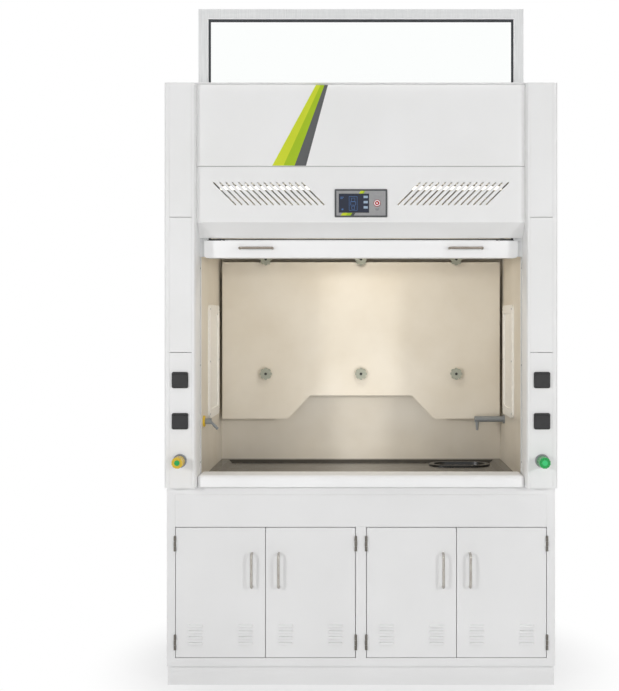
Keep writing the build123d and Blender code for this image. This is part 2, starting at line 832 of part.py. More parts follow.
# Main baffle with the trapezoid notch of the lower air slot
with BuildPart() as baffle_main:
    with BuildSketch(front_plane(baffle_setback)):
        with BuildLine():
            Polyline((-baffle_half, baffle_bottom), (-notch_half_bottom, baffle_bottom),
                     (-notch_half_top, notch_top), (notch_half_top, notch_top),
                     (notch_half_bottom, baffle_bottom), (baffle_half, baffle_bottom),
                     (baffle_half, baffle_top), (-baffle_half, baffle_top), close=True)
        make_face()
        with Locations(*knob_spots[:3]):
            Circle(knob_stud + hole_clearance / 2, mode=Mode.SUBTRACT)
    extrude(amount=-board_thickness)
write(baffle_main.part, "baffle_main")

# Upper baffle: short upright foot, then leaning forward over the chamber
with BuildPart() as baffle_upper:
    foot = baffle_top + baffle_slot
    bend = foot + upper_baffle_fold
    lean = math.atan2(baffle_setback - upper_baffle_setback, upper_baffle_top - bend)
    miter = board_thickness * math.tan(lean / 2)
    side_profile([(baffle_setback, foot), (board_back_setback, foot),
                  (board_back_setback, bend + miter),
                  (upper_baffle_setback + board_thickness * math.cos(lean),
                   upper_baffle_top + board_thickness * math.sin(lean)),
                  (upper_baffle_setback, upper_baffle_top), (baffle_setback, bend)], baffle_half)
write(baffle_upper.part, "baffle_upper")

# Lobed hand knobs with moulded studs, which clamp both baffles to the stand-offs
with BuildPart() as baffle_knobs:
    lobe_circle = knob_radius - knob_lobe
    with BuildSketch(front_plane(baffle_setback)) as lobes:
        with Locations(*knob_spots):
            Circle(lobe_circle)
            with PolarLocations(lobe_circle, knob_lobes):
                Circle(knob_lobe)
    extrude(lobes.sketch, amount=knob_thickness)
    disc(front_plane(baffle_setback - knob_thickness), knob_spots, knob_hole, -knob_hole_depth,
         Mode.SUBTRACT)
    disc(front_plane(baffle_setback), knob_spots, knob_stud, -board_thickness - knob_thickness)
write(baffle_knobs.part, "baffle_knobs")

# Ceiling liner: front lip, flat with the lamp window, riser at the back
window_half = lamp_length / 2 - 2 * lamp_window_border
window_depth = lamp_housing_width + 2 * lamp_window_border
with BuildPart() as ceiling_liner:
    ceiling_top = ceiling_height + liner_thickness
    side_profile([(ceiling_front, ceiling_height), (ceiling_rear, ceiling_height),
                  (ceiling_rear, roof_underside), (ceiling_rear - liner_thickness, roof_underside),
                  (ceiling_rear - liner_thickness, ceiling_top),
                  (ceiling_front + liner_thickness, ceiling_top),
                  (ceiling_front + liner_thickness, ceiling_height + ceiling_flange),
                  (ceiling_front, ceiling_height + ceiling_flange)], worktop_half)
    plate(level(ceiling_height), -window_half, window_half, y_at(lamp_setback - window_depth / 2),
          y_at(lamp_setback + window_depth / 2), liner_thickness, Mode.SUBTRACT)
write(ceiling_liner.part, "ceiling_liner")

with BuildPart() as lamp_window:
    pane_half = window_half + lamp_window_border
    pane_depth = window_depth + 2 * lamp_window_border
    plate(level(ceiling_top), -pane_half, pane_half, y_at(lamp_setback - pane_depth / 2),
          y_at(lamp_setback + pane_depth / 2), liner_thickness)
write(lamp_window.part, "lamp_window")

# Lamp batten: channel on two end plates that hold the tube
with BuildPart() as lamp_housing:
    end_plate_x = lamp_length / 2
    housing_sides = (y_at(lamp_setback - lamp_housing_width / 2),
                     y_at(lamp_setback + lamp_housing_width / 2))
    channel_z = lamp_housing_top - lamp_channel_depth
    for side in (-1, 1):
        ends = sorted((side * end_plate_x, side * (end_plate_x + lamp_end_plate)))
        plate(level(ceiling_top), *ends, *housing_sides, lamp_housing_top - ceiling_top)
    plate(level(channel_z), -end_plate_x, end_plate_x, *housing_sides, lamp_channel_depth)
    plate(level(channel_z + sheet), -end_plate_x, end_plate_x, housing_sides[0] + sheet,
          housing_sides[1] - sheet, lamp_channel_depth, Mode.SUBTRACT)
write(lamp_housing.part, "lamp_housing")

with BuildPart() as lamp_tube:
    disc(Plane.YZ.offset(-lamp_length / 2), [(y_at(lamp_setback), lamp_z)], lamp_radius, lamp_length)
write(lamp_tube.part, "lamp_tube")

# Sash: aluminium frame, rubber glazing gasket, glass, handle bar and two pulls
opening_half = sash_half - stile
opening_head = sash_top - stile


def sash_ring(plane_setback, outer_grow, inner_grow, thickness):
    """Rectangular ring round the glass opening, grown outwards by the two amounts."""
    for grow, mode in ((outer_grow, Mode.ADD), (inner_grow, Mode.SUBTRACT)):
        plate(front_plane(plane_setback), -opening_half - grow, opening_half + grow,
              bar_top - grow, opening_head + grow, -thickness, mode)


def glass_pane(mode=Mode.ADD):
    plate(front_plane(glass_setback), gasket_grip - opening_half, opening_half - gasket_grip,
          bar_top + gasket_grip, opening_head - gasket_grip, -glass_thickness, mode)


with BuildPart() as sash_frame:
    plate(front_plane(sash_setback), -sash_half, sash_half, bar_bottom + bar_lip, sash_top,
          -sash_thickness)
    plate(front_plane(sash_setback), -opening_half, opening_half, bar_top, opening_head,
          -sash_thickness, Mode.SUBTRACT)
    for side in (-1, 1):
        arm = sorted((side * (sash_half - overshoot), side * (cable_x + carrier_height / 2)))
        plate(level(arm_low), *arm, y_at(groove_front + 2 * post_wall),
              y_at(groove_rear - 2 * post_wall), carrier_height)
write(sash_frame.part, "sash_frame")

glass_setback = sash_setback + (sash_thickness - glass_thickness) / 2
with BuildPart() as sash_gasket:
    sash_ring(glass_setback - gasket_grip, 0, -gasket_width, glass_thickness + 2 * gasket_grip)
    glass_pane(Mode.SUBTRACT)
write(sash_gasket.part, "sash_gasket")

with BuildPart() as sash_glass:
    glass_pane()
write(sash_glass.part, "sash_glass")

bar_setback = sash_setback - bar_thickness
with BuildPart() as sash_handle_bar:
    plate(front_plane(bar_setback), -bar_half, bar_half, bar_bottom, bar_top, -bar_thickness)
    fillet(sash_handle_bar.edges().filter_by(Axis.Y).group_by(Axis.Z)[0], bar_corner)
    fillet(sash_handle_bar.faces().sort_by(Axis.Y)[0].edges(), bar_edge)
    plate(level(bar_bottom), -opening_half, opening_half, y_at(sash_setback),
          y_at(sash_setback + sash_thickness), bar_lip)
write(sash_handle_bar.part, "sash_handle_bar")

with BuildPart() as sash_pulls:
    for side in (-1, 1):
        pull_spot = (side * sash_pull_x, y_at(bar_setback), bar_bottom + sash_pull_rise)
        pull_plane = Plane(origin=pull_spot, x_dir=(1, 0, 0), z_dir=(0, 0, 1))
        add(mirror(bow_handle(pull_plane, pull_corner, pull_radius), about=front_plane(bar_setback),
                   mode=Mode.PRIVATE))
write(sash_pulls.part, "sash_pulls")

# Counterbalance: cross shaft with grooved pulleys, bearing plates, weights and cables
groove_radius = pulley_radius - cable_radius - fit_gap
with BuildPart() as pulley_shaft:
    shaft_plane = Plane(origin=(0, shaft_y, shaft_z), x_dir=(1, 0, 0), z_dir=(0, -1, 0))
    pulley_low = cable_x - pulley_width / 2
    pulley_high = cable_x + pulley_width / 2
    rim = pulley_radius + pulley_flange
    with BuildSketch(shaft_plane) as half_section:
        with BuildLine():
            Polyline((0, 0), (0, shaft_radius), (pulley_low, shaft_radius), (pulley_low, rim),
                     (cable_x - cable_radius - fit_gap, groove_radius),
                     (cable_x + cable_radius + fit_gap, groove_radius), (pulley_high, rim),
                     (pulley_high, 0), close=True)
        make_face()
    revolve(half_section.sketch, axis=Axis((0, shaft_y, shaft_z), (1, 0, 0)))
    mirror(about=Plane.YZ)
write(pulley_shaft.part, "pulley_shaft")

with BuildPart() as pulley_brackets:
    for side in (-1, 1):
        web = sorted((side * (bearing_x - bearing_plate / 2), side * (bearing_x + bearing_plate / 2)))
        bearing_low = shaft_z - bearing_width / 2
        plate(level(bearing_low), *web, shaft_y - bearing_width / 2, shaft_y + bearing_width / 2,
              roof_underside - bearing_low)
        lip = sorted((side * (bearing_x - bearing_plate / 2), side * (bearing_x + bearing_width / 2)))
        plate(level(roof_underside), *lip, shaft_y - bearing_width / 2, shaft_y + bearing_width / 2,
              -bearing_plate)
    disc(Plane.YZ.offset(-half_width), [(shaft_y, shaft_z)], shaft_radius + shaft_clearance,
         overall_width, Mode.SUBTRACT)
write(pulley_brackets.part, "pulley_brackets")

weight_y = shaft_y + pulley_radius
sash_cable_y = shaft_y - pulley_radius
eye_top = weight_bottom + weight_height + weight_eye
with BuildPart() as counterweights:
    for side in (-1, 1):
        plate(level(weight_bottom), side * cable_x - weight_width / 2, side * cable_x + weight_width / 2,
              weight_y - weight_depth / 2, weight_y + weight_depth / 2, weight_height)
    chamfer(counterweights.edges().filter_by(Axis.Z), weight_chamfer)
    disc(level(weight_bottom + weight_height), [(-cable_x, weight_y), (cable_x, weight_y)],
         carrier_height / 2, weight_eye)
write(counterweights.part, "counterweights")

with BuildPart() as sash_cables:
    for side in (-1, 1):
        with BuildLine() as run:
            rise = Line((side * cable_x, sash_cable_y, arm_high + fit_gap),
                        (side * cable_x, sash_cable_y, shaft_z))
            over = ThreePointArc(rise @ 1, (side * cable_x, shaft_y, shaft_z + pulley_radius),
                                 (side * cable_x, weight_y, shaft_z))
            Line(over @ 1, (side * cable_x, weight_y, eye_top + fit_gap))
        with BuildSketch(Plane(origin=run.line @ 0, z_dir=(0, 0, 1))) as strand:
            Circle(cable_radius)
        sweep(strand.sketch, path=run.line)
write(sash_cables.part, "sash_cables")

# Access covers: rounded frame round a thin plate, over the openings of the side liners
with BuildPart() as access_covers:
    for side in (-1, 1):
        wall = Plane.YZ.offset(side * chamber_half)
        cover_middle = (y_at((access_front + access_rear) / 2), (access_bottom + access_top) / 2)
        cover_size = (access_rear - access_front, access_top - access_bottom)
        with BuildSketch(wall) as frame_outline:
            with Locations(cover_middle):
                RectangleRounded(*cover_size, access_corner)
        extrude(frame_outline.sketch, amount=-side * access_proud)
        with BuildSketch(Plane.YZ.offset(side * (chamber_half - liner_thickness))) as field:
            with Locations(cover_middle):
                RectangleRounded(cover_size[0] - 2 * access_border, cover_size[1] - 2 * access_border,
                                 access_inner_corner)
        extrude(field.sketch, amount=-side * access_proud, mode=Mode.SUBTRACT)
write(access_covers.part, "access_covers")

# Gas outlet on the left wall: rosette, body, slanted hose nozzle and tail through the liner
with BuildPart() as gas_outlet:
    gas_wall = Plane(origin=(-chamber_half, y_at(gas_setback), gas_z), x_dir=(0, 1, 0), z_dir=(1, 0, 0))
    disc(gas_wall, [(0, 0)], gas_rosette_radius, gas_rosette_thickness)
    fillet(gas_outlet.edges().group_by(Axis.X)[-1], gas_rosette_round)
    disc(gas_wall, [(0, 0)], gas_body_radius, gas_body_length)
    disc(gas_wall, [(0, 0)], gas_body_radius, -outlet_tail)
    nozzle_start = (-chamber_half + gas_body_length - gas_hose_radius, y_at(gas_setback), gas_z)
    nozzle_plane = Plane(origin=nozzle_start, x_dir=(0, 1, 0), z_dir=(1, 0, -1))
    disc(nozzle_plane, [(0, 0)], gas_hose_radius, gas_hose_length)
    for barb in range(gas_barbs):
        from_tip = gas_hose_radius + barb * gas_barb_pitch
        with BuildSketch(nozzle_plane.offset(gas_hose_length - from_tip)) as barb_base:
            Circle(gas_hose_radius + gas_barb_proud)
        extrude(barb_base.sketch, amount=gas_hose_radius, taper=gas_barb_taper)
write(gas_outlet.part, "gas_outlet")

# Water outlet on the right wall: flange, pipe and a nozzle that points into the drip cup
with BuildPart() as water_outlet:
    water_spot = (chamber_half, y_at(water_setback), water_z)
    water_wall = Plane(origin=water_spot, x_dir=(0, 1, 0), z_dir=(-1, 0, 0))
    disc(water_wall, [(0, 0)], water_flange_radius, water_flange_thickness)
    disc(water_wall, [(0, 0)], water_pipe_radius, water_reach)
    fillet(water_outlet.edges().group_by(Axis.X)[0], water_end_round)
    disc(water_wall, [(0, 0)], water_pipe_radius, -outlet_tail)
    spout_x = chamber_half - water_reach + water_nozzle_inset
    with BuildSketch(level(water_z)) as spout_root:
        with Locations((spout_x, y_at(water_setback))):
            Circle(water_nozzle_radius)
    extrude(spout_root.sketch, amount=-water_pipe_radius - water_nozzle_length, taper=water_nozzle_taper)
write(water_outlet.part, "water_outlet")

# Valves behind the columns, each with a knob on its own stem
valve_spots = [(-service_x, valve_z), (service_x, valve_z)]
with BuildPart() as valve_bodies:
    disc(front_plane(0), valve_spots, valve_flange_radius, valve_flange_thickness)
    fillet(valve_bodies.edges().group_by(Axis.Y)[0], valve_flange_round)
    disc(front_plane(0), valve_spots, valve_neck_radius, -sheet - cover_return)
    for x, z in valve_spots:
        plate(front_plane(sheet + cover_return), x - valve_block / 2, x + valve_block / 2,
              z - valve_block / 2, z + valve_block / 2, -valve_block_depth)
    disc(front_plane(-valve_flange_thickness), valve_spots, valve_stem_radius + shaft_clearance,
         -valve_flange_thickness - valve_stem_depth, Mode.SUBTRACT)
write(valve_bodies.part, "valve_bodies")


def make_valve_knob(x):
    """Fluted knob with its stem, turned on the axis of the valve."""
    knob_back = -valve_flange_thickness - valve_knob_gap
    with BuildPart() as knob:
        with BuildSketch(front_plane(knob_back)) as outline:
            with Locations((x, valve_z)):
                Circle(valve_knob_radius)
                with PolarLocations(valve_knob_radius + overshoot, valve_flutes):
                    Circle(valve_flute_radius, mode=Mode.SUBTRACT)
        extrude(outline.sketch, amount=valve_knob_length)
        disc(front_plane(knob_back - valve_knob_length), [(x, valve_z)], valve_cap_radius,
             valve_cap_thickness)
        disc(front_plane(knob_back), [(x, valve_z)], valve_stem_radius,
             -valve_knob_gap - valve_flange_thickness - valve_stem_depth + fit_gap)
    return knob.part


write(make_valve_knob(-service_x), "gas_valve_knob")
write(make_valve_knob(service_x), "water_valve_knob")

# Sockets: plate with a back box and a round well, and a flap lid hinged on two ears
socket_spots = [(x, z) for x in (-service_x, service_x) for z in socket_heights]
lid_axis_z = lid_width / 2 - lid_barrel_radius
lid_axis_setback = -socket_proud - fit_gap - lid_barrel_radius
barrel_half = lid_width / 2 - lid_ear - fit_gap
with BuildPart() as socket_bodies:
    with BuildSketch(front_plane(0)) as plates:
        with Locations(*socket_spots):
            RectangleRounded(socket_size, socket_size, socket_corner)
    extrude(plates.sketch, amount=socket_proud)
    fillet(socket_bodies.faces().group_by(Axis.Y)[0].edges(), socket_edge)
    for x, z in socket_spots:
        plate(front_plane(0), x - socket_box / 2, x + socket_box / 2, z - socket_box / 2,
              z + socket_box / 2, -socket_box_depth)
        for side in (-1, 1):
            ear = sorted((x + side * (lid_width / 2 - lid_ear), x + side * lid_width / 2))
            plate(front_plane(-socket_proud), *ear, z + lid_axis_z - lid_barrel_radius,
                  z + lid_axis_z + lid_barrel_radius, fit_gap + lid_barrel_radius)
            disc(Plane.YZ.offset(ear[0]), [(y_at(lid_axis_setback), z + lid_axis_z)],
                 lid_barrel_radius, lid_ear)
    disc(front_plane(-socket_proud), socket_spots, socket_well_radius, -socket_well_depth, Mode.SUBTRACT)
    for x, z in socket_spots:
        disc(Plane.YZ.offset(x - lid_width / 2), [(y_at(lid_axis_setback), z + lid_axis_z)],
             lid_pin_radius + shaft_clearance, lid_width, Mode.SUBTRACT)
write(socket_bodies.part, "socket_bodies")


def make_lid(x, z):
    axis_spot = [(y_at(lid_axis_setback), z + lid_axis_z)]
    lid_top = z + lid_axis_z - lid_barrel_radius - fit_gap
    with BuildPart() as lid:
        plate(front_plane(-socket_proud - fit_gap), x - lid_width / 2, x + lid_width / 2,
              lid_top - lid_height, lid_top, lid_thickness)
        fillet(lid.edges().filter_by(Axis.Y).group_by(Axis.Z)[0], lid_corner)
        fillet(lid.faces().sort_by(Axis.Y)[0].edges(), lid_edge)
        plate(front_plane(-socket_proud - fit_gap), x - barrel_half, x + barrel_half,
              lid_top - lid_thickness, z + lid_axis_z, lid_thickness)
        disc(Plane.YZ.offset(x - barrel_half), axis_spot, lid_barrel_radius, 2 * barrel_half)
        disc(Plane.YZ.offset(x - lid_width / 2 + fit_gap), axis_spot, lid_pin_radius,
             lid_width - 2 * fit_gap)
    return lid.part


for number, (x, z) in enumerate(socket_spots, start=1):
    write(make_lid(x, z), f"socket_lid_{number}")
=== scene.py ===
import math

import bmesh
import bpy
from mathutils import Matrix, Vector


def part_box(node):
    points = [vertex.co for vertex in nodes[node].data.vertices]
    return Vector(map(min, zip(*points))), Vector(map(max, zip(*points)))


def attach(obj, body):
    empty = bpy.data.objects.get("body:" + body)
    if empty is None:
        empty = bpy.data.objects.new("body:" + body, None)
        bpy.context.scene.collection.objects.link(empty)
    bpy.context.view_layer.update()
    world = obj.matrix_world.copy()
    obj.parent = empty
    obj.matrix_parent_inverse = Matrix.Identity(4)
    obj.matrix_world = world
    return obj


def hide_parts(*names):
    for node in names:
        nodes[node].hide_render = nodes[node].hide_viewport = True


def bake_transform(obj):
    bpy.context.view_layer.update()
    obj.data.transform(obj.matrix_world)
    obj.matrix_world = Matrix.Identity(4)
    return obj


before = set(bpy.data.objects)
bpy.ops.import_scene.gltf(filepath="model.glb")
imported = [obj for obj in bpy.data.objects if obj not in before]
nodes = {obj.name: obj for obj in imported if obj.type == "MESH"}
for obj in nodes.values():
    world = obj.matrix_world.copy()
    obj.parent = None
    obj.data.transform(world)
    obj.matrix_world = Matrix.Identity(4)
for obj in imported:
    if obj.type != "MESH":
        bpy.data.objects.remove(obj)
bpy.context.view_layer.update()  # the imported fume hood, in metres, front towards -Y
mm = 0.001
print("frame loaded:", len(nodes), "nodes")

# Materials


def toLinear(hexColour):
    channels = [int(hexColour[place:place + 2], 16) / 255 for place in (1, 3, 5)]
    return [c / 12.92 if c <= 0.04045 else ((c + 0.055) / 1.055) ** 2.4 for c in channels] + [1.0]


def addNode(tree, kind, inputs=None, links=None, **settings):
    node = tree.nodes.new(kind)
    for name, value in settings.items():
        setattr(node, name, value)
    for name, value in (inputs or {}).items():
        node.inputs[name].default_value = value
    for name, source in (links or {}).items():
        tree.links.new(source, node.inputs[name])
    return node


def startMaterial(name, roughness, **sockets):
    # A material with one shader; returns it with its tree, shader and object coordinates.
    material = bpy.data.materials.new(name)
    material.use_nodes = True
    tree = material.node_tree
    tree.nodes.clear()
    shader = addNode(tree, "ShaderNodeBsdfPrincipled", {"Roughness": roughness})
    for socket, value in sockets.items():
        shader.inputs[socket.replace("_", " ")].default_value = value
    addNode(tree, "ShaderNodeOutputMaterial", links={"Surface": shader.outputs["BSDF"]})
    place = addNode(tree, "ShaderNodeTexCoord").outputs["Object"]
    return material, tree, shader, place


def noise(tree, place, sizeMm, detail=3, stretch=(1, 1, 1)):
    # Noise whose grains are about sizeMm across; stretch draws them out along an axis.
    mapped = addNode(tree, "ShaderNodeMapping", {"Scale": stretch}, {"Vector": place})
    return addNode(tree, "ShaderNodeTexNoise", {"Scale": 1 / (sizeMm * mm), "Detail": detail},
                   {"Vector": mapped.outputs["Vector"]}).outputs["Fac"]


def tint(tree, shader, factor, darkHex, lightHex, low=0.3, high=0.7):
    # Colour that drifts between two shades with a noise factor.
    ramp = addNode(tree, "ShaderNodeValToRGB", links={"Fac": factor})
    ramp.color_ramp.elements[0].position = low
    ramp.color_ramp.elements[0].color = toLinear(darkHex)
    ramp.color_ramp.elements[1].position = high
    ramp.color_ramp.elements[1].color = toLinear(lightHex)
    tree.links.new(ramp.outputs["Color"], shader.inputs["Base Color"])


def roughen(tree, shader, factor, low, high):
    spread = addNode(tree, "ShaderNodeMapRange", {"To Min": low, "To Max": high}, {"Value": factor})
    tree.links.new(spread.outputs["Result"], shader.inputs["Roughness"])


def bump(tree, shader, height, heightMm, strength=1.0):
    node = addNode(tree, "ShaderNodeBump", {"Distance": heightMm * mm, "Strength": strength},
                   {"Height": height})
    tree.links.new(node.outputs["Normal"], shader.inputs["Normal"])


def powderCoat(name, darkHex, lightHex):
    # Epoxy powder coat on folded steel: a low satin sheen with a fine orange peel.
    material, tree, shader, place = startMaterial(name, 0.42, IOR=1.5)
    tint(tree, shader, noise(tree, place, 420), darkHex, lightHex)
    roughen(tree, shader, noise(tree, place, 90), 0.38, 0.48)
    bump(tree, shader, noise(tree, place, 5, 4), 0.03, 0.35)  # drawn coarser than real, to show
    return material


def linerLaminate(name):
    # Solid phenolic laminate: cream and satin, with a faint cloudiness.
    material, tree, shader, place = startMaterial(name, 0.36, IOR=1.52)
    tint(tree, shader, noise(tree, place, 260, 4), "#D9CFBD", "#E4DCCD")
    roughen(tree, shader, noise(tree, place, 60), 0.3, 0.42)
    bump(tree, shader, noise(tree, place, 3, 2), 0.015, 0.25)
    return material


def epoxyWorktop(name):
    # Cast black epoxy resin: glossy, so it mirrors the cream walls at a low angle.
    material, tree, shader, place = startMaterial(name, 0.16, IOR=1.56)
    tint(tree, shader, noise(tree, place, 30, 5), "#1B1815", "#26221E")
    roughen(tree, shader, noise(tree, place, 45, 5), 0.12, 0.24)
    bump(tree, shader, noise(tree, place, 8, 3), 0.02, 0.2)
    return material


def mouldedPlastic(name, hexColour, roughness=0.35, grainMm=1.2):
    # Injection-moulded ABS or polypropylene: even colour with a light spark-eroded grain.
    material, tree, shader, place = startMaterial(name, roughness, IOR=1.53)
    shade = [max(0, int(hexColour[spot:spot + 2], 16) - 8) for spot in (1, 3, 5)]
    tint(tree, shader, noise(tree, place, 14), "#%02X%02X%02X" % tuple(shade), hexColour)
    roughen(tree, shader, noise(tree, place, 9), roughness - 0.05, roughness + 0.07)
    bump(tree, shader, noise(tree, place, grainMm, 2), 0.02, 0.3)
    return material


def brushedMetal(name, darkHex, lightHex, roughness, grainAxis):
    # Metal rubbed along one axis, so its highlights are drawn out across the grain.
    material, tree, shader, place = startMaterial(name, roughness, Metallic=1.0)
    stretch = [0.03 if axis == grainAxis else 1 for axis in range(3)]
    grain = noise(tree, place, 0.8, 4, stretch)
    tint(tree, shader, grain, darkHex, lightHex)
    roughen(tree, shader, grain, roughness - 0.06, roughness + 0.08)
    bump(tree, shader, grain, 0.01, 0.3)
    return material


def anodisedAluminium(name):
    # Natural anodised extrusion: matt, with fine die lines along its length.
    material, tree, shader, place = startMaterial(name, 0.45, Metallic=0.35, IOR=1.6)
    lines = noise(tree, place, 1.6, 3, (1, 1, 0.02))
    tint(tree, shader, lines, "#D5D6D6", "#E6E7E7")
    bump(tree, shader, lines, 0.03, 0.3)
    return material


def rubber(name):
    # Extruded EPDM: near black and dull, a little grey where it is handled.
    material, tree, shader, place = startMaterial(name, 0.62, IOR=1.5)
    tint(tree, shader, noise(tree, place, 12), "#34373A", "#42454A")
    bump(tree, shader, noise(tree, place, 1.5), 0.03, 0.4)
    return material


def floatGlass(name, tintHex="#FCFEFD"):
    # Laminated safety glass: clear with a trace of green.
    material, tree, shader, place = startMaterial(name, 0.02, IOR=1.5)
    shader.inputs["Base Color"].default_value = toLinear(tintHex)
    shader.inputs["Transmission Weight"].default_value = 1.0
    haze = noise(tree, place, 180, 2)
    roughen(tree, shader, haze, 0.0, 0.012)
    return material


def castIron(name):
    # Sand-cast iron under grey primer: dark, rough and pitted.
    material, tree, shader, place = startMaterial(name, 0.7, Metallic=0.2, IOR=1.6)
    tint(tree, shader, noise(tree, place, 20, 5), "#3B3D40", "#54575A")
    bump(tree, shader, noise(tree, place, 2.5, 6), 0.2, 0.6)
    return material


def lampGlow(name):
    # Phosphor-coated lamp tube, lit: even warm white.
    material, tree, shader, place = startMaterial(name, 0.3, IOR=1.5)
    tint(tree, shader, noise(tree, place, 200), "#FFF6E4", "#FFFBF2")
    shader.inputs["Emission Color"].default_value = toLinear("#FFF6E6")
    shader.inputs["Emission Strength"].default_value = 2.2
    return material


def inkFilm(name, hexColour):
    # Screen-printed vinyl: flat colour under a thin satin film.
    material, tree, shader, place = startMaterial(name, 0.38, IOR=1.48)
    shade = [max(0, int(hexColour[spot:spot + 2], 16) - 5) for spot in (1, 3, 5)]
    tint(tree, shader, noise(tree, place, 60), "#%02X%02X%02X" % tuple(shade), hexColour)
    bump(tree, shader, noise(tree, place, 5, 3), 0.02, 0.25)
    return material


def litPixels(name, hexColour, glow):
    # Backlit part of a liquid crystal display.
    material, tree, shader, place = startMaterial(name, 0.15, IOR=1.5)
    tint(tree, shader, noise(tree, place, 20), hexColour, hexColour)
    shader.inputs["Emission Color"].default_value = toLinear(hexColour)
    shader.inputs["Emission Strength"].default_value = glow
    return material


gasRosette = {
    "wall": -630,  # X of the left liner's inner face, in mm
    "thickness": 7.8,
}


def gasOutletFinish(name):
    # Grey powder-coated brass with the yellow rosette that marks fuel gas at the wall.
    material, tree, shader, place = startMaterial(name, 0.38, IOR=1.5)
    axes = addNode(tree, "ShaderNodeSeparateXYZ", links={"Vector": place})
    edge = (gasRosette["wall"] + gasRosette["thickness"]) * mm
    atWall = addNode(tree, "ShaderNodeMath", {1: edge}, {0: axes.outputs["X"]},
                     operation="LESS_THAN")
    blend = addNode(tree, "ShaderNodeMix", links={"Factor": atWall.outputs[0]}, data_type="RGBA")
    blend.inputs["A"].default_value = toLinear("#8B8F90")
    blend.inputs["B"].default_value = toLinear("#D9B52F")
    tree.links.new(blend.outputs["Result"], shader.inputs["Base Color"])
    bump(tree, shader, noise(tree, place, 3, 3), 0.03, 0.3)
    return material


white = powderCoat("powder_coat_white", "#E9E9E8", "#EEEEEE")
# The same white powder coat, a shade darker: painted shade standing for the dimmer light on the
# cabinet below the worktop.
shadedCabinetWhite = powderCoat("powder_coat_white_painted_shade", "#E6E6E6", "#ECECEC")
# The same white powder coat with the same roughness, only lighter: its extra brightness is a
# painted sheen on the sill, handle bar and glazing lip, and on the button ring it is the ring's own
# white.
paintedSheenWhite = powderCoat("powder_coat_white_painted_sheen", "#F1F1F1", "#F7F7F7")
cream = linerLaminate("phenolic_liner_cream")
creamTrim = mouldedPlastic("polypropylene_ivory", "#FAF7F0", 0.3)
worktopBlack = epoxyWorktop("epoxy_worktop_black")
# Black polypropylene of the drip cup; on the baffle knobs the same black is painted shade for their
# middle holes.
blackCupAndHoleShade = mouldedPlastic("polypropylene_black_and_painted_hole_shade", "#121212", 0.28)
plasticBlack = mouldedPlastic("abs_black", "#1B1B1C", 0.38)
# Grey ABS; on the valve bodies this grey is in part painted shade round the knobs' base.
plasticGrey = mouldedPlastic("abs_grey", "#8E9192", 0.36)
knobGrey = mouldedPlastic("polypropylene_grey_green", "#A3A596", 0.42)
yellow = mouldedPlastic("abs_yellow", "#D8B830", 0.25)
green = mouldedPlastic("abs_green", "#0FA04C", 0.25)
greenLight = mouldedPlastic("abs_green_light", "#35C878", 0.22)
red = mouldedPlastic("abs_red", "#B5202A", 0.25)
aluminium = anodisedAluminium("anodised_aluminium")
steelAcross = brushedMetal("brushed_stainless_across", "#837B70", "#B0A89D", 0.3, 0)
steelUpright = brushedMetal("brushed_stainless_upright", "#9A958D", "#C8C4BE", 0.28, 2)
hingeSteel = brushedMetal("hinge_steel", "#5D5A55", "#85817A", 0.38, 2)
cableSteel = brushedMetal("stranded_cable_steel", "#8F9294", "#C5C8C9", 0.32, 0)
zincSteel = brushedMetal("zinc_plated_steel", "#A9ACAE", "#C8CBCC", 0.35, 2)
gasketBlack = rubber("epdm_black")
sealGrey = mouldedPlastic("silicone_bead_grey", "#B9BAB9", 0.5)
glass = floatGlass("laminated_glass")
iron = castIron("cast_iron_primed")
lamp = lampGlow("lamp_tube_lit")
gasFinish = gasOutletFinish("coated_brass_gas")
bezelGrey = mouldedPlastic("display_bezel_grey", "#9C9C9D", 0.3, 0.8)
bezelDark = mouldedPlastic("display_bezel_dark", "#47494B", 0.32, 0.8)
lcdNavy = litPixels("lcd_navy", "#111A2E", 0.15)
print("materials made")

# Finish of every carried-over CAD node

finishes = {
    white: ["side_panel_left", "side_panel_right", "column_covers_left", "column_covers_right",
            "header_upper", "header_lower", "roof", "back_panel", "exhaust_collar",
            "sash_post_left", "sash_post_right", "lamp_housing"],
    # Plinth, cabinet and doors take the darker copy of the white, a painted shade.
    shadedCabinetWhite: ["plinth", "cabinet_carcass", "cabinet_apron", "door_1", "door_2", "door_3",
                   "door_4"],
    # Sill and handle bar: the lighter copy of the white, a painted sheen.
    paintedSheenWhite: ["front_sill", "sash_handle_bar"],
    cream: ["liner_left", "liner_right", "back_liner", "baffle_main", "baffle_upper",
            "ceiling_liner"],
    creamTrim: ["access_covers"],
    worktopBlack: ["worktop"],
    blackCupAndHoleShade: ["drip_cup"],
    plasticBlack: ["socket_bodies", "socket_lid_1", "socket_lid_2", "socket_lid_3", "socket_lid_4",
                   "door_catches"],
    knobGrey: ["baffle_knobs"],
    yellow: ["gas_valve_knob"],
    green: ["water_valve_knob"],
    # The valve bodies' grey is in part painted shade, standing for the shadow round the knobs'
    # base.
    plasticGrey: ["water_outlet", "valve_bodies"],
    gasFinish: ["gas_outlet"],
    aluminium: ["sash_frame"],
    gasketBlack: ["sash_gasket"],
    glass: ["sash_glass", "lamp_window"],
    lamp: ["lamp_tube"],
    steelAcross: ["sash_pulls"],
    steelUpright: ["door_handle_1", "door_handle_2", "door_handle_3", "door_handle_4",
                   "hinge_pins"],
    zincSteel: ["pulley_shaft", "pulley_brackets", "sash_cables"],
    iron: ["counterweights"],
    bezelGrey: ["display_panel"],
    lcdNavy: ["display_screen"],
    red: ["push_button"],
}
for material, names in finishes.items():
    for name in names:
        nodes[name].data.materials.clear()
        nodes[name].data.materials.append(material)
unfinished = set(nodes) - {name for names in finishes.values() for name in names}
print("finished nodes; left over:", sorted(unfinished))

# Modelling helpers


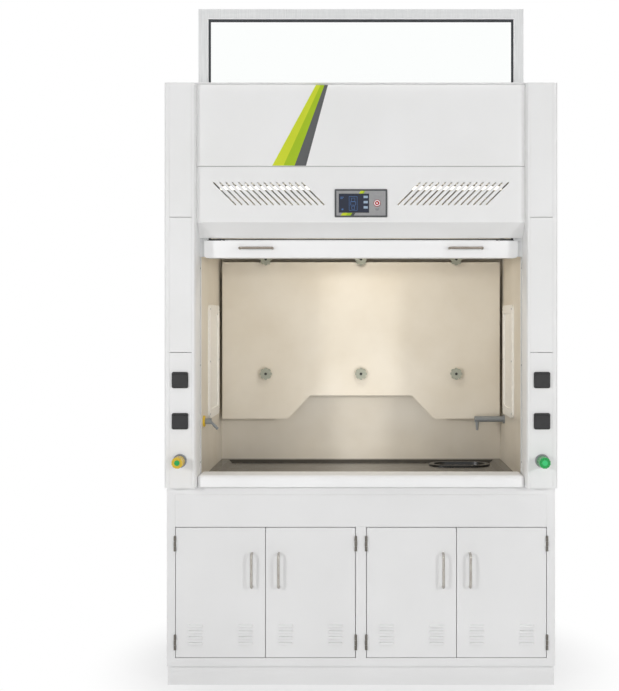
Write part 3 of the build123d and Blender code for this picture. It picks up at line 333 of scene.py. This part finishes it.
def mergeInto(mesh, part):
    # Adds a finished bmesh to another one.
    bmesh.ops.recalc_face_normals(part, faces=part.faces)
    data = bpy.data.meshes.new("part")
    part.to_mesh(data)
    part.free()
    mesh.from_mesh(data)
    bpy.data.meshes.remove(data)


def finishPiece(name, mesh, material, body, smooth=False):
    # Turns a bmesh into a piece that rides on a CAD body.
    data = bpy.data.meshes.new(name)
    mesh.to_mesh(data)
    mesh.free()
    data.materials.append(material)
    for face in data.polygons:
        face.use_smooth = smooth
    piece = bpy.data.objects.new(name, data)
    bpy.context.scene.collection.objects.link(piece)
    if body:
        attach(piece, body)
    return piece


def addStrip(mesh, corners, y, thickness):
    # A thin plate upright on the front; corners are (x, z) in mm, y is its back face in metres.
    part = bmesh.new()
    face = part.faces.new([part.verts.new((x * mm, y, z * mm)) for x, z in corners])
    grown = bmesh.ops.extrude_face_region(part, geom=[face])["geom"]
    moved = [item for item in grown if isinstance(item, bmesh.types.BMVert)]
    bmesh.ops.translate(part, vec=(0, -thickness * mm, 0), verts=moved)
    mergeInto(mesh, part)


def addBox(mesh, low, high, bevelSize=0.0):
    # A block between two corners in mm, its edges eased by bevelSize.
    part = bmesh.new()
    made = bmesh.ops.create_cube(part, size=1.0)["verts"]
    bmesh.ops.scale(part, vec=[(h - l) * mm for l, h in zip(low, high)], verts=made)
    bmesh.ops.translate(part, vec=[(l + h) / 2 * mm for l, h in zip(low, high)], verts=made)
    if bevelSize:
        bmesh.ops.bevel(part, geom=part.edges[:], offset=bevelSize * mm, segments=2, profile=0.5,
                        affect="EDGES", material=-1)
    mergeInto(mesh, part)


def addRing(mesh, low, high, width, y, thickness):
    # A flat rectangular ring on the front with mitred corners; low and high are (x, z) in mm.
    corners = [(low[0], low[1]), (high[0], low[1]), (high[0], high[1]), (low[0], high[1])]
    inward = [(1, 1), (-1, 1), (-1, -1), (1, -1)]
    inner = [(x + dx * width, z + dz * width) for (x, z), (dx, dz) in zip(corners, inward)]
    for side in range(4):
        after = (side + 1) % 4
        addStrip(mesh, [corners[side], corners[after], inner[after], inner[side]], y, thickness)


def addTurned(mesh, profile, centre, axis, steps=28):
    # Spins (radius, height) points in mm about an axis that starts at centre, in metres.
    part = bmesh.new()
    ring = [part.verts.new((radius * mm, 0, height * mm)) for radius, height in profile]
    for pair in zip(ring[:-1], ring[1:]):
        part.edges.new(pair)
    bmesh.ops.spin(part, geom=part.verts[:] + part.edges[:], cent=(0, 0, 0), axis=(0, 0, 1),
                   angle=2 * math.pi, steps=steps, use_merge=True)
    bmesh.ops.remove_doubles(part, verts=part.verts[:], dist=1e-6)
    turn = Vector((0, 0, 1)).rotation_difference(Vector(axis)).to_matrix().to_4x4()
    bmesh.ops.transform(part, matrix=Matrix.Translation(centre) @ turn, verts=part.verts[:])
    mergeInto(mesh, part)


def screwProfile(radius):
    # Pan head with a small recess in its middle.
    return [(0, radius * 0.25), (radius * 0.25, radius * 0.28), (radius * 0.34, radius * 0.5),
            (radius * 0.75, radius * 0.4), (radius, radius * 0.08), (radius, -0.2), (0, -0.2)]


# Coloured accent stripes on the upper header, a printed film

stripes = {
    "foot": [-341, -298, -255, -211],  # X of the stripe edges at the foot, in mm
    "head": [-173, -155, -140, -127],
    "colours": {"stripe_lime": "#CBD62A", "stripe_green": "#A2BF12", "stripe_grey": "#575859"},
    "thickness": 0.3,
    "inset": 1.5,
}


def makeStripes():
    low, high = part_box("header_upper")
    foot = low.z / mm + stripes["inset"]
    head = high.z / mm - stripes["inset"]
    for index, (name, colour) in enumerate(stripes["colours"].items()):
        mesh = bmesh.new()
        corners = [(stripes["foot"][index], foot), (stripes["foot"][index + 1], foot),
                   (stripes["head"][index + 1], head), (stripes["head"][index], head)]
        addStrip(mesh, corners, low.y, stripes["thickness"])
        finishPiece(name, mesh, inkFilm("film_" + name, colour), "root")


makeStripes()
print("stripes made")

# Sealing bead in the joint between the two header panels

headerSeal = {
    "endInset": 3,
    "front": 0.7,  # behind the panels' face
    "rear": 1.4,
}


def makeHeaderSeal():
    upper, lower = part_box("header_upper"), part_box("header_lower")
    face, inset = upper[0].y / mm, headerSeal["endInset"]
    mesh = bmesh.new()
    addBox(mesh, (upper[0].x / mm + inset, face + headerSeal["front"], lower[1].z / mm),
           (upper[1].x / mm - inset, face + headerSeal["rear"], upper[0].z / mm))
    finishPiece("header_joint_seal", mesh, sealGrey, "root")


makeHeaderSeal()
print("header seal made")

# Display: dark rim, accents, schematic drawing and button ring

display = {
    "rim": 6,
    "rimInset": 1.2,
    "screenRim": 1.5,
    "accentGap": 1.6,  # between the screen and the small accents
    "accentMargin": 7.3,  # between the bezel's edge and the small accents
    "filmThickness": 0.15,
    "lineWidth": 1.1,
    "proud": 0.3,
    "accentHead": [-8, 4, 10],  # X edges of the small accents over the screen, in mm
    "accentFoot": [-78, -58, -40, -28],  # and of those under it
    "slant": 7,
    "pillX": (10, 26),
    "pillZ": (24, 4, -16),
    "pillHeight": 9,
    "drawing": [(-46, -28, -14, 26), (-40, -8, -20, 6), (-37, 6, -23, 20), (-36, -24, -24, -11)],
    "marks": [(-79, 22, -66, 24), (-79, 17, -70, 19), (-74, -27, -68, -21)],
    "captions": [(54, -23, 70, -21.5), (56, -27, 68, -25.5)],
    "buttonRing": (8.6, 11.2),  # inner and outer radius
    "buttonDot": 3.2,
}


def addMarks(mesh, marks, middle, y):
    # Small filled rectangles, their heights counted from the display's middle.
    for x0, z0, x1, z1 in marks:
        corners = [(x0, middle + z0), (x1, middle + z0), (x1, middle + z1), (x0, middle + z1)]
        addStrip(mesh, corners, y, display["filmThickness"])


def makeDisplay():
    low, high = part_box("display_panel")
    middle = (low.z + high.z) / 2 / mm
    screenLow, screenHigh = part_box("display_screen")
    edges = [value / mm for value in (low.x, low.z, high.x, high.z)]
    mesh = bmesh.new()
    inset, border = display["rimInset"], display["screenRim"]
    addRing(mesh, (edges[0] + inset, edges[1] + inset), (edges[2] - inset, edges[3] - inset),
            display["rim"], low.y, display["proud"])
    addRing(mesh, (screenLow.x / mm - border, screenLow.z / mm - border),
            (screenHigh.x / mm + border, screenHigh.z / mm + border), border, low.y,
            display["proud"])
    finishPiece("display_rim", mesh, bezelDark, "root")

    gap, margin = display["accentGap"], display["accentMargin"]
    rows = (("accentHead", screenHigh.z / mm + gap, edges[3] - margin),
            ("accentFoot", edges[1] + margin, screenLow.z / mm - gap))
    colours = ("#C8D42C", "#9DBB16", "#3E4042")
    for name, foot, head in rows:
        places = display[name]
        for index in range(len(places) - 1):
            mesh = bmesh.new()
            left, right = places[index], places[index + 1]
            addStrip(mesh, [(left, foot), (right, foot), (right + display["slant"], head),
                            (left + display["slant"], head)], low.y, display["proud"])
            label = "display_" + name + "_%d" % index
            finishPiece(label, mesh, inkFilm("film_" + label, colours[index]), "root")

    mesh = bmesh.new()
    for x0, z0, x1, z1 in display["drawing"]:
        addRing(mesh, (x0, middle + z0), (x1, middle + z1), display["lineWidth"], screenLow.y,
                display["filmThickness"])
    addMarks(mesh, display["marks"], middle, screenLow.y)
    finishPiece("display_drawing", mesh, litPixels("lcd_blue", "#41679A", 0.25), "root")

    mesh = bmesh.new()
    for z in display["pillZ"]:
        x0, x1 = display["pillX"]
        addBox(mesh, (x0, screenLow.y / mm - 0.2, middle + z - display["pillHeight"] / 2),
               (x1, screenLow.y / mm, middle + z + display["pillHeight"] / 2))
    finishPiece("display_pills", mesh, litPixels("lcd_pale", "#93A6BA", 0.15), "root")

    mesh = bmesh.new()
    addMarks(mesh, display["captions"], middle, low.y)
    finishPiece("display_captions", mesh, bezelDark, "root")

    buttonLow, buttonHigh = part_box("push_button")
    centre = ((buttonLow.x + buttonHigh.x) / 2, buttonLow.y, (buttonLow.z + buttonHigh.z) / 2)
    inner, outer = display["buttonRing"]
    mesh = bmesh.new()
    dot, proud = display["buttonDot"], display["proud"]
    ring = [(inner, -proud), (inner, proud), (outer, proud), (outer, -proud), (inner, -proud)]
    addTurned(mesh, ring, centre, (0, -1, 0))
    addTurned(mesh, [(0, proud), (dot, proud), (dot, -proud), (0, -proud)], centre, (0, -1, 0))
    finishPiece("button_ring", mesh, paintedSheenWhite, "button")


makeDisplay()
print("display made")

# Coloured centre discs pressed into the two valve knobs

knobDiscs = {
    "gas_valve_knob": ("gas_knob", green),
    "water_valve_knob": ("water_knob", greenLight),
}


def makeKnobDiscs():
    for node, (body, material) in knobDiscs.items():
        low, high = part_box(node)
        radius = (high.z - low.z) / 2 / mm
        mesh = bmesh.new()
        profile = [(0, 0.3), (radius * 0.45, 0.3), (radius * 0.5, 0.1), (radius * 0.5, -1), (0, -1)]
        addTurned(mesh, profile, ((low.x + high.x) / 2, low.y, (low.z + high.z) / 2), (0, -1, 0))
        finishPiece(node + "_disc", mesh, material, body)


makeKnobDiscs()
print("knob discs made")

# Hinge barrels: bare steel sleeves and pin heads over the welded knuckles

hinges = {
    "x": (-718, -20, 20, 718),
    "axisY": -373.9,
    "low": (143.5, 524.5),
    "knuckle": 19.067,
    "gap": 0.4,
    "radius": 4.9,
    "headRadius": 3.4,
}


def makeHinges():
    size = hinges["radius"]
    height = hinges["knuckle"]
    barrel = [(0, 0), (size - 0.5, 0), (size, 0.5), (size, height - 0.5), (size - 0.5, height),
              (0, height)]
    headSize = hinges["headRadius"]
    head = [(0, 0), (headSize, 0), (headSize, 1), (headSize * 0.7, 2), (0, 2.4)]
    for number, x in enumerate(hinges["x"], start=1):
        axis = (x * mm, hinges["axisY"] * mm)
        for body, levels in (("root", (0, 2)), ("door_%d" % number, (1,))):
            mesh = bmesh.new()
            for low in hinges["low"]:
                for level in levels:
                    foot = low + level * (height + hinges["gap"])
                    addTurned(mesh, barrel, (*axis, foot * mm), (0, 0, 1), 20)
                    if level == 2:
                        addTurned(mesh, head, (*axis, (foot + height) * mm), (0, 0, 1), 16)
            finishPiece("hinge_barrels_%d_%s" % (number, body), mesh, hingeSteel, body)


makeHinges()
print("hinges made")

# Sash: extruded ribs on the frame, glazing lip, buffers on the handle bar

sash = {
    "frameHalf": 635.5,  # half the frame's width without its cable arms
    "openingInset": 39,  # from the frame's outer edge to the glass opening
    "ribFoot": 4,
    "cleatFront": (5, 11),
    "cleatEase": 0.5,
    "bufferSetback": 8,
    "ribInsets": (7, 12, 27, 32),
    "ribWidth": 1.4,
    "ribProud": 0.8,
    "lipWidth": 3.0,
    "lipProud": 1.2,
    "bufferX": (-536, 532),
    "bufferRadius": 5,
    "bufferHeight": 4.5,
    "cleatX": ((-600, -545), (541, 598)),
    "cleatHeight": 2.2,
}


def makeSashTrim():
    low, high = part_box("sash_frame")
    barLow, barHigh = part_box("sash_handle_bar")
    barTop = barHigh.z / mm
    half = sash["frameHalf"]
    top = high.z / mm
    mesh = bmesh.new()
    for inset in sash["ribInsets"]:
        addRing(mesh, (inset - half, barTop - sash["ribFoot"]), (half - inset, top - inset),
                sash["ribWidth"], low.y, sash["ribProud"])
    finishPiece("sash_frame_ribs", mesh, aluminium, "sash")
    # The glazing lip is drawn in the lighter white rather than aluminium: a painted highlight along
    # the frame's inner edge.
    mesh = bmesh.new()
    edge = sash["openingInset"] - sash["lipWidth"]
    addRing(mesh, (edge - half, barTop), (half - edge, top - edge), sash["lipWidth"], low.y,
            sash["lipProud"])
    finishPiece("sash_glazing_lip", mesh, paintedSheenWhite, "sash")
    mesh = bmesh.new()
    for x in sash["bufferX"]:
        size = sash["bufferRadius"]
        addTurned(mesh, [(0, 0), (size, 0), (size, sash["bufferHeight"] - 1),
                         (size - 1, sash["bufferHeight"]), (0, sash["bufferHeight"])],
                  (x * mm, barLow.y + sash["bufferSetback"] * mm, barTop * mm), (0, 0, 1))
    front, rear = (barLow.y / mm + depth for depth in sash["cleatFront"])
    for x0, x1 in sash["cleatX"]:
        addBox(mesh, (x0, front, barTop), (x1, rear, barTop + sash["cleatHeight"]),
               sash["cleatEase"])
    finishPiece("sash_buffers", mesh, gasketBlack, "sash")


makeSashTrim()
print("sash trim made")

# Cables: a front run to the sash arm and a rear run to the counterweight, over each pulley

cables = {
    "runSteps": 8,
    "turnStep": 15,  # degrees between the rings over a pulley
    "x": (-675, 675),
    "radius": 1.5,
    "frontY": -299,
    "rearY": -199,
    "pulleyZ": 2250,
    "armZ": 1706.4,
    "eyeZ": 1357.4,
}


def addCableRun(mesh, points, x):
    # A round cable along (y, z) points in mm, made by bridging rings.
    part = bmesh.new()
    rings = []
    for index, (y, z) in enumerate(points):
        before = points[max(index - 1, 0)]
        after = points[min(index + 1, len(points) - 1)]
        along = Vector((0, after[0] - before[0], after[1] - before[1])).normalized()
        turn = Vector((0, 0, 1)).rotation_difference(along).to_matrix().to_4x4()
        made = bmesh.ops.create_circle(part, segments=10, radius=cables["radius"] * mm)["verts"]
        place = Matrix.Translation((x * mm, y * mm, z * mm)) @ turn
        bmesh.ops.transform(part, matrix=place, verts=made)
        rings.append(made)
    for first, second in zip(rings[:-1], rings[1:]):
        edges = {edge for vert in first + second for edge in vert.link_edges
                 if edge.other_vert(vert) in first or edge.other_vert(vert) in second}
        bmesh.ops.bridge_loops(part, edges=[edge for edge in edges if len(edge.link_faces) < 2])
    bmesh.ops.holes_fill(part, edges=part.edges[:], sides=12)
    mergeInto(mesh, part)


def makeCables():
    middle = (cables["frontY"] + cables["rearY"]) / 2
    reach = (cables["rearY"] - cables["frontY"]) / 2
    turns = [math.radians(angle) for angle in range(180, -1, -cables["turnStep"])]
    over = [(middle + reach * math.cos(turn), cables["pulleyZ"] + reach * math.sin(turn))
            for turn in turns]
    half = len(over) // 2
    steps, top = cables["runSteps"], cables["pulleyZ"]
    for side, x in zip(("left", "right"), cables["x"]):
        front = [(cables["frontY"], cables["armZ"] + (top - cables["armZ"]) * step / steps)
                 for step in range(steps)] + over[:half + 1]
        rear = over[half:] + [(cables["rearY"], top + (cables["eyeZ"] - top) * step / steps)
                              for step in range(1, steps + 1)]
        mesh = bmesh.new()
        addCableRun(mesh, front, x)
        piece = finishPiece("cable_front_" + side, mesh, cableSteel, None, True)
        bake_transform(piece)
        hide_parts("sash_cables")
        mesh = bmesh.new()
        addCableRun(mesh, rear, x)
        piece = finishPiece("cable_rear_" + side, mesh, cableSteel, None, True)
        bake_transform(piece)
        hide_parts("sash_cables")


makeCables()
print("cables made")

# Small fasteners and painted shade: black discs on the baffle knobs standing for the shade in their
# middle holes, and screws of covers and posts

fasteners = {
    "knobX": (-422, 0, 422),
    "knobZ": (1181, 1688.5),
    "knobFront": 279,  # face of the knobs, in mm of Y
    "holeShadeRadius": 6,
    "screwRadius": 4,
    "coverProud": 9,  # the covers' face stands this far off the liner
    "coverY": (-63, 227),
    "coverZ": (1030, 1247, 1464),
    "postY": -300,
    "postZ": (860, 1240, 1620),
}


def makeFasteners():
    # Black discs on the baffle knobs' faces: painted shade standing for the dark holes in their
    # middles.
    mesh = bmesh.new()
    size = fasteners["holeShadeRadius"]
    for x in fasteners["knobX"]:
        for z in fasteners["knobZ"]:
            addTurned(mesh, [(0, 0.1), (size * 0.8, 0.5), (size, 0.3), (size, -1), (0, -1)],
                      (x * mm, fasteners["knobFront"] * mm, z * mm), (0, -1, 0), 20)
    finishPiece("baffle_knob_hole_shade", mesh, blackCupAndHoleShade, "root")
    mesh = bmesh.new()
    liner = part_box("liner_right")[0].x
    cover = liner - fasteners["coverProud"] * mm
    screw = screwProfile(fasteners["screwRadius"])
    for side in (-1, 1):
        places = [(cover, y, z) for z in fasteners["coverZ"] for y in fasteners["coverY"]]
        places += [(liner, fasteners["postY"], z) for z in fasteners["postZ"]]
        for x, y, z in places:
            addTurned(mesh, screw, (side * x, y * mm, z * mm), (-side, 0, 0), 16)
    finishPiece("small_screws", mesh, zincSteel, "root")


makeFasteners()
print("fasteners made")

# Camera, light and floor

view = {
    "distance": 4.4,  # from the column fronts, in metres
    "height": 1.4,
    "lens": 60.1,
    "shiftX": -0.0745,
    "shiftY": -0.0305,
}


def makeCamera():
    data = bpy.data.cameras.new("camera")
    data.lens = view["lens"]
    data.shift_x = view["shiftX"]
    data.shift_y = view["shiftY"]
    camera = bpy.data.objects.new("camera", data)
    camera.location = (0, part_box("column_covers_left")[0].y - view["distance"], view["height"])
    camera.rotation_euler = (math.pi / 2, 0, 0)
    bpy.context.scene.collection.objects.link(camera)
    bpy.context.scene.camera = camera


lights = {
    "leftLight": {"place": (-3.2, -4.4, 1.9), "aim": (0, 0, 1.2), "size": 0.4, "watts": 54},
    "rightLight": {"place": (3.2, -4.4, 1.9), "aim": (0, 0, 1.2), "size": 0.4, "watts": 52},
    "frontLight": {"place": (0, -5.4, 0.5), "aim": (0, 0, 1.2), "size": 1.6, "watts": 47},
    "workLight": {"place": (0, -0.12, 0.98), "aim": (0, 0.4, 0.98), "size": 0.3, "watts": 0.8},
    "backLight": {"place": (2.4, 5.0, 3.0), "aim": (0, 0, 1.2), "size": 2.5, "watts": 60},
    "topLight": {"place": (0, -0.6, 5.0), "aim": (0, 0, 0.5), "size": 3.5, "watts": 14},
}


chamberLamp = {
    "share": 0.4,  # of the lamp window's width
    "drop": 6,
    "watts": 2.4,
    "colour": "#FFFBF4",
}


def aimed(place, aim):
    return (Vector(aim) - Vector(place)).to_track_quat("-Z", "Y").to_euler()


def makeLights():
    for name, settings in lights.items():
        data = bpy.data.lights.new(name, "AREA")
        data.shape = "SQUARE"
        data.size = settings["size"]
        data.energy = settings["watts"]
        light = bpy.data.objects.new(name, data)
        light.location = settings["place"]
        light.rotation_euler = aimed(settings["place"], settings["aim"])
        light.visible_camera = False
        light.visible_transmission = False
        light.visible_glossy = name in ("leftLight", "rightLight")  # others show in the glass
        bpy.context.scene.collection.objects.link(light)
    low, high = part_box("lamp_window")
    data = bpy.data.lights.new("chamberLight", "AREA")
    data.shape = "RECTANGLE"
    data.size = (high.x - low.x) * chamberLamp["share"]
    data.size_y = high.y - low.y
    data.energy = chamberLamp["watts"]
    data.color = toLinear(chamberLamp["colour"])[:3]
    light = bpy.data.objects.new("chamberLight", data)
    light.location = ((low.x + high.x) / 2, (low.y + high.y) / 2,
                      low.z - chamberLamp["drop"] * mm)
    light.visible_camera = False
    light.visible_glossy = False
    light.visible_transmission = False
    bpy.context.scene.collection.objects.link(light)


surroundings = {
    "light": 0.35,  # strength for the light that falls on the object
    "seen": 1.0,  # and for what the camera sees, pure white
    "floorReach": 9.0,  # metres from the middle to the floor's edge
    "floorGrey": 0.9,
    "fadeFrom": 0.6,  # the shadow fades into white between these distances, in metres
    "fadeTo": 1.15,
    "fadeLeast": 0.55,
}


def larger(tree, first, second):
    return addNode(tree, "ShaderNodeMath", links={0: first, 1: second},
                   operation="MAXIMUM").outputs[0]


def makeWorld():
    world = bpy.data.worlds.new("studio")
    bpy.context.scene.world = world
    world.use_nodes = True
    tree = world.node_tree
    tree.nodes.clear()
    ray = addNode(tree, "ShaderNodeLightPath")
    direct = larger(tree, ray.outputs["Is Camera Ray"], ray.outputs["Is Glossy Ray"])
    seen = larger(tree, direct, ray.outputs["Is Transmission Ray"])
    strength = addNode(tree, "ShaderNodeMapRange",
                       {"To Min": surroundings["light"], "To Max": surroundings["seen"]},
                       {"Value": seen})
    shine = addNode(tree, "ShaderNodeBackground", {"Color": (1, 1, 1, 1)},
                    {"Strength": strength.outputs["Result"]})
    addNode(tree, "ShaderNodeOutputWorld", links={"Surface": shine.outputs["Background"]})


def makeFloor():
    mesh = bmesh.new()
    bmesh.ops.create_grid(mesh, x_segments=1, y_segments=1, size=surroundings["floorReach"])
    data = bpy.data.meshes.new("floor")
    mesh.to_mesh(data)
    mesh.free()
    floor = bpy.data.objects.new("floor", data)
    bpy.context.scene.collection.objects.link(floor)
    material = bpy.data.materials.new("white_floor")
    material.use_nodes = True
    tree = material.node_tree
    tree.nodes.clear()
    place = addNode(tree, "ShaderNodeTexCoord").outputs["Object"]
    away = addNode(tree, "ShaderNodeVectorMath", links={0: place}, operation="LENGTH")
    fade = addNode(tree, "ShaderNodeMapRange",
                   {"From Min": surroundings["fadeFrom"], "From Max": surroundings["fadeTo"],
                    "To Min": surroundings["fadeLeast"]},
                   {"Value": away.outputs["Value"]}, interpolation_type="SMOOTHSTEP")
    ray = addNode(tree, "ShaderNodeLightPath")
    seen = larger(tree, ray.outputs["Is Camera Ray"], ray.outputs["Is Glossy Ray"])
    amount = addNode(tree, "ShaderNodeMath", links={0: seen, 1: fade.outputs["Result"]},
                     operation="MULTIPLY")
    grey = surroundings["floorGrey"]
    matt = addNode(tree, "ShaderNodeBsdfDiffuse", {"Color": (grey, grey, grey, 1)})
    glow = addNode(tree, "ShaderNodeEmission", {"Color": (1, 1, 1, 1), "Strength": 1.0})
    mixed = addNode(tree, "ShaderNodeMixShader", links={0: amount.outputs[0], 1: matt.outputs[0],
                                                        2: glow.outputs[0]})
    addNode(tree, "ShaderNodeOutputMaterial", links={"Surface": mixed.outputs[0]})
    floor.data.materials.append(material)


makeCamera()
makeLights()
makeWorld()
makeFloor()
bpy.context.scene.view_settings.view_transform = "Standard"
print("camera, light and floor made")
